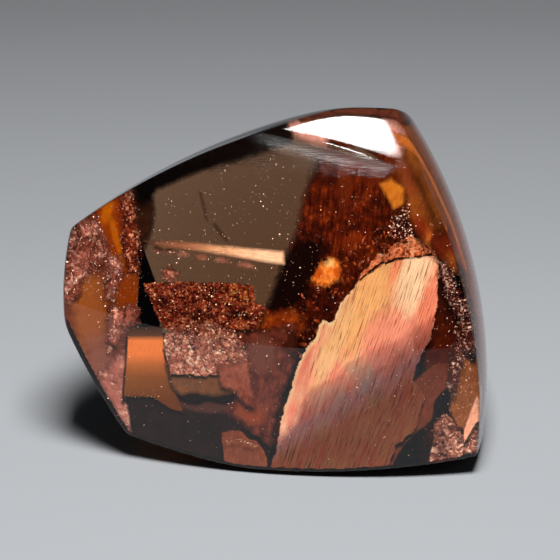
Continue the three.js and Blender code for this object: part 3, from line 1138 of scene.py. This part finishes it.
# %% The amber end
END_LIES, END_AT = (-0.3, -0.92, 0.2), (100, 310, 1.6)
AMBER_END = [
    (88, 208), (112, 192), (132, 186), (136, 215), (138, 244), (139, 280), (137, 309), (134, 330),
    (132, 357), (129, 393), (129, 438), (112, 424), (98, 398), (78, 362), (62, 327), (60, 300), (60, 275),
    (62, 245), (70, 225),
]
MAUVE, AMBER, RUSSET, DUSK = (0.42, 0.12, 0.08), (0.72, 0.24, 0.06), (0.36, 0.03, 0.002), (0.60, 0.24, 0.18)
VEIN, VEIN_SIDE = (0.95, 0.24, 0.003), (0.55, 0.085, 0.003)
END_CLOUDS = [
    (80, 258, 1.7, 1.6, 0, MAUVE), (91, 312, 0.9, 2.4, 0, AMBER), (112, 205, 0.9, 0.7, 0, RUSSET),
    (108, 214, 0.65, 1.2, 10, VEIN_SIDE), (117, 242, 0.5, 1.6, -15, VEIN_SIDE),
    (108, 211, 0.26, 0.8, 15, VEIN), (117, 240, 0.20, 1.2, -15, VEIN), (131, 222, 0.5, 2.0, 0, RUSSET),
    (131, 262, 0.45, 1.2, 0, (0.62, 0.12, 0.006)), (127, 293, 0.65, 1.2, 0, (0.60, 0.11, 0.005)),
    (112, 385, 1.6, 2.6, -15, DUSK),
    (121, 350, 0.7, 1.6, 0, (0.34, 0.10, 0.06)), (96, 262, 0.6, 0.8, 0, (0.24, 0.05, 0.03)),
]

end = veil_material("amber end", [(0.26, 0.05, 0.012), (0.42, 0.10, 0.02)], patches=0.4, soft=0.04,
                    ragged=0.06, hairy=0.12, clouds=END_CLOUDS)
copper_sheet("amber_end", AMBER_END, END_AT, END_LIES, end)

# %% Crusts on the amber end
MAUVE_CLOUDS = [
    (92, 230, 0.6, 0.35, -30, (1.4, 1.5, 1.5)), (96, 244, 0.4, 0.5, 0, (0.6, 0.5, 0.4)),
    (73, 245, 0.5, 0.9, 10, (0.7, 0.65, 0.65)), (122, 318, 0.6, 0.4, 0, (1.5, 1.5, 1.5)),
]
MAUVE_CORNER = [
    (66, 236), (96, 216), (101, 236), (108, 250), (100, 262), (90, 264), (84, 280), (78, 294), (66, 306),
    (60, 296), (60, 262),
]
RUSSET_CRUST = [
    (123, 202), (133, 194), (135, 215), (138, 244), (138, 270), (128, 272), (126, 256), (122, 240),
    (126, 218),
]
SEAM_TOP = [(110, 256), (120, 260), (122, 272), (116, 284), (112, 300), (106, 296), (108, 275)]
SEAM = [(111, 308), (137, 309), (136, 326), (121, 332), (116, 345), (109, 350), (108, 330)]
DUSKY_TIP = [(98, 376), (112, 364), (131, 347), (129, 393), (129, 438), (114, 422), (98, 394)]

mauve = crust_material(
    "mauve crust", [(0.20, 0.05, 0.032), (0.29, 0.085, 0.06), (0.38, 0.13, 0.10), (0.85, 0.50, 0.42)],
    lump=1.1, crystal=0.17, relief=0.5, ragged=1.3, soft=0.45, clouds=MAUVE_CLOUDS)
russet = crust_material(
    "russet crust", [(0.07, 0.006, 0.001), (0.13, 0.013, 0.002), (0.22, 0.030, 0.006), (0.95, 0.42, 0.25)],
    lump=0.8, crystal=0.12, relief=0.6, ragged=1.2, soft=0.4)
dusky = crust_material(
    "dusky crust", [(0.36, 0.13, 0.105), (0.38, 0.14, 0.115), (0.41, 0.155, 0.125), (0.8, 0.48, 0.40)],
    lump=1.4, crystal=0.2, relief=0.2, ragged=1.4, soft=0.6)
end_front = under(*END_AT) + Vector(END_LIES) * 0.1 * MM
for name, outline, material, step in (
        ("mauve_corner", MAUVE_CORNER, mauve, 0.2), ("russet_crust", RUSSET_CRUST, russet, 0.15),
        ("pink_seam_top", SEAM_TOP, mauve, 0.12), ("pink_seam", SEAM, mauve, 0.12),
        ("dusky_tip_crust", DUSKY_TIP, dusky, 0.2)):
    copper_sheet(name, outline, end_front, END_LIES, material, step=step)

# %% [markdown]
# Near-black brown lines the top left edge, and runs down between the left end and the clear part: painted
# shade, which deepens the dark band left where the view is mirrored off the bevels into the dark room.
# The edge is curved, so the top sheet follows the surface instead of a plane.

# %% Brown fringes
FRINGE_AT, TOP_FRINGE_DEEP = (144, 215, 1.5), 0.25
BROWN_FRINGE = [(132, 182), (153, 182), (154, 215), (150, 238), (143, 250), (136, 246), (134, 215)]
TOP_FRINGE = [
    (138, 180), (190, 150), (232, 132), (270, 119), (284, 122), (292, 134), (290, 144), (262, 152),
    (230, 162), (190, 175), (152, 192), (140, 196),
]
SHADE_RIM = {"metal": 0.0, "soft": 0.35, "ragged": 0.4, "density": 0.97}

fringe = veil_material("brown fringe", [(0.004, 0.0015, 0.0008), (0.012, 0.004, 0.002)], **SHADE_RIM)
shade_line = veil_material("shade line", [(0.014, 0.004, 0.0015), (0.034, 0.011, 0.005)], **SHADE_RIM)
copper_sheet("brown_fringe", BROWN_FRINGE, FRINGE_AT, END_LIES, shade_line, step=0.15)
skin_sheet("top_fringe", TOP_FRINGE, TOP_FRINGE_DEEP, fringe)

# %% [markdown]
# ## The right side
# At the right the stone is clear amber, with a crust of copper that runs down beside the big sheet.
# A honey veil gives the amber, and a red one far behind it closes the view through the crust's gaps.

# %% Honey and the right crust
RIGHT_LIES = (0.1, -0.95, 0.3)
HONEY_AT, HIGH_AT, SIDE_AT, RED_AT = (425, 200, 1.6), (454, 285, 1.1), (463, 345, 1.0), (450, 310, 2.6)
HONEY_VEIL = [
    (396, 112), (410, 112), (432, 140), (452, 178), (464, 214), (474, 262), (456, 272), (440, 256),
    (425, 240), (408, 220), (400, 185), (394, 150),
]
# the first cloud, bright orange at the right edge, is a painted highlight
HONEY_CLOUDS = [
    (449, 228, 0.3, 0.9, -25, (0.7, 0.20, 0.035)), (408, 150, 0.5, 1.6, -15, (0.22, 0.045, 0.012)),
    (415, 228, 0.8, 0.7, 0, (0.22, 0.03, 0.005)), (440, 243, 0.6, 0.8, 0, (0.13, 0.016, 0.003)),
]
RIGHT_HIGH = [(439, 262), (456, 258), (466, 290), (466, 318), (456, 312), (448, 300), (444, 282)]
RIGHT_CRUST = [
    (462, 300), (472, 300), (478, 335), (474, 352), (464, 350), (459, 372), (454, 396), (448, 384),
    (454, 345), (460, 325),
]
RED_WALL = [
    (428, 262), (446, 258), (466, 285), (478, 330), (478, 372), (456, 380), (428, 372), (420, 345),
    (430, 300),
]

honey = veil_material("honey", [(0.20, 0.048, 0.008), (0.32, 0.085, 0.014)], patches=0.9, metal=0.0, soft=0.5,
                      ragged=0.5, density=0.92, deep=2, clouds=HONEY_CLOUDS)
copper_sheet("honey_veil", HONEY_VEIL, HONEY_AT, RIGHT_LIES, honey)
side = crust_material(
    "side crust", [(0.02, 0.003, 0.001), (0.06, 0.008, 0.004), (0.15, 0.03, 0.018), (1.0, 0.70, 0.58)],
    lump=0.45, crystal=0.10, relief=1.0, ragged=1.2, soft=0.3)
copper_sheet("right_crust_high", RIGHT_HIGH, HIGH_AT, RIGHT_LIES, side, step=0.15)
copper_sheet("right_crust", RIGHT_CRUST, SIDE_AT, RIGHT_LIES, side, step=0.15)
behind = veil_material("red wall", [(0.035, 0.004, 0.001), (0.10, 0.014, 0.003)], patches=0.4, metal=0,
                       soft=0.4, ragged=0.5, **UPRIGHT)
copper_sheet("red_wall", RED_WALL, RED_AT, RIGHT_LIES, behind)

# %% [markdown]
# At its right foot the stone ends in amber, with a smooth salmon slip along the edge, a crust in the corner
# and a brown slab beside the big sheet. Each has its own depth and finish, so each is its own sheet.

# %% The pieces at the right foot
FOOT_AT, SALMON_AT, CORNER_AT, SLAB_AT = (466, 385, 1.3), (475, 408, 0.6), (458, 440, 0.8), (415, 405, 1.5)
AMBER_FOOT = [(456, 352), (476, 344), (484, 380), (484, 404), (466, 430), (456, 424), (450, 408), (452, 384)]
SALMON_SLIP = [(480, 382), (485, 386), (484, 402), (475, 424), (464, 443), (464, 430), (471, 411), (477, 394)]
CORNER_CRUST = [
    (433, 424), (444, 414), (456, 422), (464, 440), (478, 418), (486, 420), (486, 456), (462, 462),
    (434, 466), (434, 440),
]
CORNER_CLOUDS = [(440, 440, 0.5, 1.2, 0, (0.55, 0.5, 0.5))]
BROWN_SLAB = [
    (416, 380), (434, 364), (452, 362), (450, 384), (434, 400), (432, 420), (404, 442), (394, 470),
    (384, 446), (400, 400),
]

foot = veil_material("amber foot", [(0.36, 0.11, 0.03), (0.58, 0.20, 0.05)], patches=0.3, soft=0.2,
                     ragged=0.4)
copper_sheet("amber_foot", AMBER_FOOT, FOOT_AT, RIGHT_LIES, foot, step=0.15)
salmon = veil_material("salmon slip", [(0.80, 0.33, 0.20), (0.88, 0.45, 0.30)], patches=0.5, rough=0.42,
                       metal=0.7, soft=0.06, ragged=0.15)
copper_sheet("salmon_slip", SALMON_SLIP, SALMON_AT, RIGHT_LIES, salmon, step=0.1)
corner = crust_material(
    "corner crust", [(0.08, 0.02, 0.012), (0.23, 0.075, 0.045), (0.45, 0.18, 0.12), (0.95, 0.62, 0.48)],
    lump=0.7, crystal=0.14, relief=0.6, ragged=0.6, clouds=CORNER_CLOUDS)
copper_sheet("corner_crust", CORNER_CRUST, CORNER_AT, RIGHT_LIES, corner, step=0.15)
slab = veil_material("brown slab", [(0.24, 0.055, 0.02), (0.36, 0.10, 0.045)], patches=0.5, soft=0.12,
                     ragged=0.25)
copper_sheet("brown_slab", BROWN_SLAB, SLAB_AT, SHEET_LIES, slab, step=0.15)

# %% [markdown]
# ## The flash line
# A long thin blade of copper crosses the clear part, and flashes like a scratch of light.
# It is brightest at its right end and nearly black at the left, a fade of its flash that is painted into its
# colour, and a row of pink spots lies below it.
# A bright line could be a curve with a glow, but a flat sheet flashes as the plates beside it do.

# %% The flash line
FLASH_AT, FLECK_AT, SPOT_DEEP = (260, 254, 2.2), (169, 273, 2.2), 2.0
FLASH_LINE = [
    (144, 241), (170, 241), (200, 244), (240, 248), (283, 252), (284, 264), (262, 261), (230, 255),
    (196, 250), (160, 247),
]
FLASH_LEFT, FLASH_RIGHT = (150, 244, 2), (284, 258, 2)
FLASH_PAINTED_LIGHT = [
    (0, (0.10, 0.07, 0.06)), (0.3, (0.35, 0.22, 0.17)), (0.55, (0.8, 0.7, 0.6)), (0.8, (1, 1, 1)),
    (1, (1, 1, 1)),
]
SPOTS = [  # x, y, half width
    (158, 249, 4), (170, 251, 3), (184, 254, 6), (202, 257, 5), (222, 260, 7), (246, 265, 8),
]
FLECK = [(163, 270), (172, 267), (177, 273), (170, 280), (163, 277)]

flash = veil_material(
    "flash line", [(1.0, 0.60, 0.42), (1.0, 0.80, 0.60)], patches=1.0, metal=1.0, rough=0.38, soft=0.22,
    ragged=0.10, streaks=0.8, runs=(1, 0, -0.05), crosses=(0, 0, 1), long=3, wide=0.07,
    shade=(under(*FLASH_LEFT), under(*FLASH_RIGHT), FLASH_PAINTED_LIGHT))
copper_sheet("flash_line", FLASH_LINE, FLASH_AT, SHEET_LIES, flash, step=0.08, wavy=0)
spots = veil_material("pink spots", [(0.75, 0.30, 0.22), (1.0, 0.55, 0.42)], patches=0.3, soft=0.22,
                      ragged=0.35)
for i, (x, y, half) in enumerate(SPOTS):
    spot = [(x - half, y - 1), (x, y - 3), (x + half, y), (x + half, y + 2), (x, y + 3), (x - half, y + 1)]
    copper_sheet(f"pink_spot_{i}", spot, (x, y, SPOT_DEEP), SHEET_LIES, spots, step=0.08)
copper_sheet("coppery_fleck", FLECK, FLECK_AT, SHEET_LIES, mauve, step=0.06)

# %% [markdown]
# Two hair-fine dark cracks hang in the clear part. Real ones are films of air that mirror the dark room,
# and a narrow veil at about a quarter of full density looks much like one.

# %% Hair cracks
CRACK_OUTLINES = [
    [(199, 192), (201, 191), (206, 208), (208, 222), (205, 219), (202, 206)],
    [(212, 224), (215, 223), (224, 234), (229, 243), (225, 241), (218, 233)],
]
CRACKS_AT = [(203, 206, 1.4), (220, 233, 1.4)]

hair = veil_material("hair crack", [(0.01, 0.004, 0.002), (0.03, 0.01, 0.006)], metal=0, soft=0.12,
                     ragged=0.12, density=0.28)
for i, (outline, at) in enumerate(zip(CRACK_OUTLINES, CRACKS_AT)):
    copper_sheet(f"hair_crack_{i}", outline, at, SHEET_LIES, hair, step=0.06, wavy=0)

# %% [markdown]
# ## The torn top of the big sheet
# Along its top the big sheet ends in a red crust above a fine dark crack.
# Both are sheets of their own, a tenth of a millimetre or less in front of it, because a torn edge overlaps.

# %% Torn top and crack
TOP_PLACE, CRUST_OVER, CRACK_OVER = (400, 250), 0.06 * MM, 0.04 * MM  # the crack lies over the crust
TORN_TOP = [
    (355, 284), (366, 266), (378, 254), (391, 244), (407, 236), (428, 238), (435, 250), (432, 255),
    (411, 258), (395, 259), (384, 263), (370, 273),
]
CRACK_LINE = [
    (354, 285), (368, 272), (380, 263), (392, 258), (411, 257), (432, 253), (431, 255), (411, 258),
    (393, 259), (381, 264), (369, 273),
]

torn = crust_material(
    "torn copper", [(0.25, 0.04, 0.01), (0.85, 0.25, 0.10), (1.0, 0.42, 0.24), (1.0, 0.62, 0.4)],
    lump=0.4, crystal=0.1, relief=0.6, ragged=0.6)
over_sheet = on_big_sheet(*TOP_PLACE) + SHEET_LIES * CRUST_OVER
over_crust = over_sheet + SHEET_LIES * CRACK_OVER
copper_sheet("torn_top", TORN_TOP, over_sheet, SHEET_LIES, torn, step=0.12, wavy=0)
crack = veil_material("crack", [(0.05, 0.012, 0.006), (0.10, 0.02, 0.01)], soft=0.05, ragged=0.22)
copper_sheet("crack_line", CRACK_LINE, over_crust, SHEET_LIES, crack, step=0.08, wavy=0)

# %% [markdown]
# ## The warm rim
# Close under the right wall, the crown and the top edge the crystal is cloudy, so that the rim glows.
# These veils follow the surface at a small depth, and scatter light instead of mirroring it.

# %% Veils under the rim
RIM_DEEP, WALL_DEEP, CROWN_DEEP = 0.2, 0.35, 0.3
TOP_RIM = [
    (296, 119), (320, 112), (345, 107), (385, 105), (408, 110), (412, 120), (404, 124), (392, 118),
    (375, 115), (340, 114), (300, 122),
]
AMBER_WALL = [(62, 30), (65, 47), (76, 55), (95, 58), (120, 52), (135, 40), (130, 28), (100, 27), (75, 25)]
MAUVE_WALL = [
    (68, 28), (100, 29), (128, 27), (130, 5), (120, -15), (100, -28), (75, -32), (66, -22), (63, -8),
    (65, 5), (67, 17),
]
BLUSH = [(282, 128), (300, 121), (322, 118), (330, 132), (324, 146), (306, 140)]
BLUSH_RIGHT = [(384, 120), (396, 122), (404, 136), (400, 154), (388, 154), (386, 138)]

top_glow = veil_material("top rim glow", [(0.03, 0.006, 0.003), (0.08, 0.02, 0.01)], patches=0.3, metal=0.0,
                         soft=0.15, ragged=0.3, density=0.85)
skin_sheet("top_rim_glow", TOP_RIM, RIM_DEEP, top_glow)
amber_wall = veil_material("amber wall", [(0.10, 0.024, 0.004), (0.17, 0.042, 0.007)], patches=0.8, metal=0.0,
                           soft=0.7, ragged=0.6, density=0.9)
wall_sheet("amber_wall", AMBER_WALL, WALL_DEEP, amber_wall)
mauve_wall = veil_material("mauve wall", [(0.16, 0.030, 0.014), (0.24, 0.055, 0.030)], patches=1.2, metal=0.0,
                           soft=0.7, ragged=0.6, density=0.8)
wall_sheet("mauve_wall", MAUVE_WALL, WALL_DEEP, mauve_wall)
blush = veil_material("crown blush", [(0.42, 0.16, 0.12), (0.60, 0.27, 0.21)], patches=0.4, metal=0.0,
                      soft=0.5, ragged=0.4, density=0.6)
skin_sheet("crown_blush", BLUSH, CROWN_DEEP, blush)
skin_sheet("crown_blush_right", BLUSH_RIGHT, CROWN_DEEP, blush)

# %% [markdown]
# The haze has no plates that flash, and the lamps above the stone are weak in there. Making it glow would
# be untrue, so it gets a lamp. Light linking keeps this wide soft box off the polish, so it leaves no gleam.

# %% A lamp for the haze
HAZE_WAY, HAZE_FAR, HAZE_WIDE, HAZE_POWER = (0, 52), 220, 110, 0.85
HAZE = [
    "dark_copper_and_shade_veil", "olive_veil", "red_wall", "brown_fringe", "amber_wedge", "smoky_and_shade_veil", "maroon_veil",
    "honey_veil", "top_rim_glow", "amber_wall", "mauve_wall", "crown_blush", "crown_blush_right",
]

the_haze = bpy.data.collections.new("the haze")
for name in HAZE:
    the_haze.objects.link(bpy.data.objects[name])
front_box("haze box", HAZE_WAY, HAZE_FAR, HAZE_WIDE, HAZE_POWER, the_haze)
print(len(HAZE), "veils are haze")

# %% [markdown]
# ## Loose plates
# Everywhere else the copper grows as single six-sided plates, about a twentieth of a millimetre across.
# A noise in a material could fake them as dots, but real plates flash by turns as the stone is turned.
# So each plate is a very short cone from one operator, turned nearly as its neighbours are.
# The plates of one swarm are joined into one mesh, and each plate carries its own tone as an attribute.

# %% Swarms of plates
BATCH = 120  # draws in a mesh of their own, because one bmesh gets slow as it grows
PLATE_NARROW, PLATE_TAPER, PLATE_THICK = 0.6, 0.9, 0.2  # in the plate's own radius


def size_between(smallest, largest, share):
    """A radius in mm, the smallest for a share of 0 and the largest for 1, in equal ratios between."""
    return MM * smallest * (largest / smallest) ** share


def swarm(name, outline, depths, count, sizes, spread, material, seed):
    """Copper plates at random places under an outline, with depths and radii between two values in mm."""
    draw = random.Random(seed)
    xs, ys = zip(*outline)
    whole = bmesh.new()
    placed = 0
    while placed < count:
        bm = bmesh.new()
        tone = bm.faces.layers.float.new("tone")
        for _ in range(BATCH):
            x, y = draw.uniform(min(xs), max(xs)), draw.uniform(min(ys), max(ys))
            if inside_by(x, y, outline) < 0 or placed >= count:
                continue
            spot = Matrix.Translation(under(x, y, draw.uniform(*depths)))
            way = PLATES_FACE + Vector([draw.gauss(0, spread) for _ in range(3)])
            turn = way.to_track_quat("Z", "Y").to_matrix().to_4x4()
            turn = turn @ Matrix.Rotation(draw.uniform(0, 1), 4, "Z")
            radius = size_between(*sizes, draw.random() ** 2)
            stretch = Matrix.Diagonal((1, draw.uniform(PLATE_NARROW, 1), 1, 1))
            made = bmesh.ops.create_cone(
                bm, cap_ends=True, segments=6, radius1=radius, radius2=radius * PLATE_TAPER,
                depth=PLATE_THICK * radius, matrix=spot @ turn @ stretch)
            shade = draw.random()
            for f in {f for v in made["verts"] for f in v.link_faces}:
                f[tone] = shade
            placed += 1
        batch = bpy.data.meshes.new("batch")
        bm.to_mesh(batch)
        bm.free()
        whole.from_mesh(batch)
        bpy.data.meshes.remove(batch)
    print(name, "has", placed, "plates and", len(whole.faces), "faces")
    return finish_piece(name, whole, material)


def plate_material(name, tones, rough=0.3, metal=1.0):
    """Bright copper plates, each with its own tone."""
    material, tree = new_material(name)
    colour = ramp(tree, own_value(tree, "tone"), even_ramp(tones, 0, 1))
    principled(tree, Base_Color=colour, Metallic=metal, Roughness=rough)
    return material


# %% Where the plates are
RUSSET_EDGE = [(112, 205), (132, 189), (139, 215), (142, 242), (139, 330), (108, 330), (112, 262)]
LEFT_EDGE = [
    (64, 236), (98, 214), (112, 250), (116, 330), (110, 356), (104, 300), (85, 292), (64, 300), (62, 262),
]
TIP = [(93, 352), (130, 345), (129, 434), (110, 408)]
RIGHT_STRIP = [
    (440, 262), (462, 262), (478, 345), (482, 450), (432, 458), (436, 424), (458, 400), (455, 350),
    (446, 290),
]
TOP_RIGHT = [(390, 212), (408, 203), (412, 236), (400, 242), (386, 234)]
SLIP_EDGE = [(127, 393), (142, 393), (160, 395), (160, 398), (127, 397)]
LOW_SLIP_EDGE = [(226, 440), (240, 439), (258, 445), (258, 448), (240, 443), (226, 443)]
CLEAR_PART = [(150, 195), (230, 164), (300, 146), (300, 205), (280, 262), (262, 300), (160, 282)]
WHOLE = [
    (70, 240), (120, 200), (190, 162), (290, 130), (400, 120), (440, 190), (478, 330), (480, 450),
    (400, 462), (230, 460), (135, 428), (75, 335),
]

gold_dust = plate_material("gold dust", [(0.5, 0.18, 0.06), (0.95, 0.5, 0.25), (1.0, 0.8, 0.55)])
pink_dust = plate_material("pink dust", [(0.6, 0.28, 0.2), (0.95, 0.6, 0.48), (1.0, 0.85, 0.75)])
SWARMS = [  # name, outline, depths, how many, sizes, spread of the way they face, material
    ("gold_swarm", GOLD_BAND, (1.2, 2.2), 600, (0.02, 0.055), 0.14, gold_dust),
    ("pink_swarm", PINK_CRUST, (0.9, 1.3), 400, (0.02, 0.055), 0.14, pink_dust),
    ("left_swarm", LEFT_EDGE, (0.3, 0.7), 420, (0.018, 0.05), 0.16, pink_dust),
    ("russet_swarm", RUSSET_EDGE, (0.3, 0.8), 260, (0.018, 0.045), 0.16, pink_dust),
    ("tip_swarm", TIP, (0.3, 0.7), 80, (0.015, 0.035), 0.16, pink_dust),
    ("right_swarm", RIGHT_STRIP, (0.3, 0.9), 420, (0.018, 0.05), 0.16, pink_dust),
    ("top_right_swarm", TOP_RIGHT, (0.8, 1.6), 130, (0.02, 0.055), 0.08, pink_dust),
    ("dark_swarm", DARK_VEIL, (0.6, 3.5), 420, (0.016, 0.042), 0.11, gold_dust),
    ("slip_edge_swarm", SLIP_EDGE, (0.6, 0.9), 40, (0.02, 0.035), 0.14, gold_dust),
    ("low_slip_edge_swarm", LOW_SLIP_EDGE, (0.4, 0.6), 80, (0.02, 0.04), 0.12, gold_dust),
    ("loose_dust", WHOLE, (0.3, 1.6), 950, (0.016, 0.042), 0.09, pink_dust),
    ("window_dust", CLEAR_PART, (0.2, 1.2), 150, (0.018, 0.044), 0.08, pink_dust),
]
for seed, row in enumerate(SWARMS):
    swarm(*row, seed)

# %% [markdown]
# ## Crumbs
# Between the sheets lie rounded crumbs of copper, orange and red, each under a millimetre across.
# A plain ball would look like a bead, so each is a small icosphere from one operator, squashed and knocked
# out of round by noise.

# %% Crumbs of copper
CRUMB_SIDES = ((1, 1.8), (0.5, 1), (0.4, 0.9))  # how long each side may be, in the crumb's own radius
CRUMB_WAVES, CRUMB_LUMPS = 0.9, 0.55  # waves of noise in a radius, and how far they push
noise.seed_set(1)  # without a seed Blender starts its vector noise from the clock


def crumbs(name, outline, depths, count, sizes, seed):
    """Rounded crumbs at random places under an outline, with depths and radii between two values in mm."""
    draw = random.Random(seed)
    xs, ys = zip(*outline)
    bm = bmesh.new()
    tone = bm.faces.layers.float.new("tone")
    placed = 0
    while placed < count:
        x, y = draw.uniform(min(xs), max(xs)), draw.uniform(min(ys), max(ys))
        if inside_by(x, y, outline) < 0:
            continue
        radius = size_between(*sizes, draw.random())
        turn = Euler([draw.uniform(0, math.tau) for _ in range(3)]).to_matrix().to_4x4()
        shape = turn @ Matrix.Diagonal([draw.uniform(*side) for side in CRUMB_SIDES] + [1])
        spot = Matrix.Translation(under(x, y, draw.uniform(*depths)))
        made = bmesh.ops.create_icosphere(bm, subdivisions=2, radius=radius, matrix=spot @ shape)["verts"]
        for v in made:
            v.co += noise.noise_vector(v.co / radius * CRUMB_WAVES) * CRUMB_LUMPS * radius
        shade = draw.random()
        for f in {f for v in made for f in v.link_faces}:
            f[tone] = shade
        placed += 1
    print(name, "has", placed, "crumbs and", len(bm.faces), "faces")
    return finish_piece(name, bm, crumb_copper, smooth=True)


OVER_SHEET = [
    (345, 262), (352, 248), (368, 236), (384, 222), (392, 206), (408, 204), (414, 238), (404, 240),
    (388, 248), (370, 262), (352, 286), (342, 290),
]
BESIDE_SHEET = [
    (296, 300), (312, 288), (346, 290), (338, 306), (320, 330), (309, 342), (302, 362), (294, 352),
    (290, 330),
]
HIGH = [(303, 226), (312, 180), (345, 160), (395, 160), (400, 185), (380, 215), (350, 238)]

crumb_copper = plate_material(
    "crumb copper", [(0.10, 0.010, 0.002), (0.30, 0.04, 0.006), (0.62, 0.15, 0.025)], rough=0.35, metal=0.3)
over = crumbs("crumbs_over_sheet", OVER_SHEET, (2.2, 3.6), 90, (0.07, 0.22), seed=50)
by_side = crumbs("crumbs_beside_sheet", BESIDE_SHEET, (2.0, 3.4), 60, (0.06, 0.18), seed=51)
crumbs("crumbs_high", HIGH, (2.0, 4.0), 16, (0.03, 0.12), seed=52)
for crumb in (over, by_side):  # the crumbs near the sheet get the haze's light too
    the_haze.objects.link(crumb)
